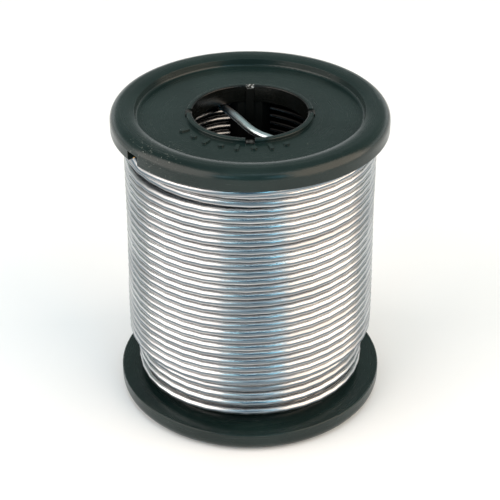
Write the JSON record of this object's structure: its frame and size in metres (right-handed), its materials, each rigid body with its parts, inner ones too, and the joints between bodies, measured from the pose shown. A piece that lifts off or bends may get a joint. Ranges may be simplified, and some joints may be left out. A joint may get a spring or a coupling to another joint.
{
  "type": "solder wire spool",
  "caption": "Full spool of soft solder wire: two rimmed flanges snapped on a windowed core tube, layered close winding, tucked outer end, start tail in the bore.",
  "frame": {"origin": "centre of the plane that the bottom rim stands on, on the spool's axis", "axes": "+Z along the spool's axis towards the top flange, -Y towards the side where the wire's outer end is led to its notch, +X to the right seen from there"},
  "size_m": [0.054, 0.054, 0.063],
  "materials": {
    "spool_plastic": "moulded dark green-black plastic, semi-gloss",
    "core_plastic": "moulded dark green-black plastic, dull",
    "solder": "bright drawn tin-lead alloy",
    "rosin_flux": "clear amber rosin"
  },
  "bodies": {
    "root": {"top_flange": "spool_plastic", "bottom_flange": "spool_plastic", "core_tube": "core_plastic", "solder_winding": "solder", "start_tail": "solder", "start_tail_flux": "rosin_flux", "finish_end": "solder", "finish_end_flux": "rosin_flux"}
  },
  "joints": []
}
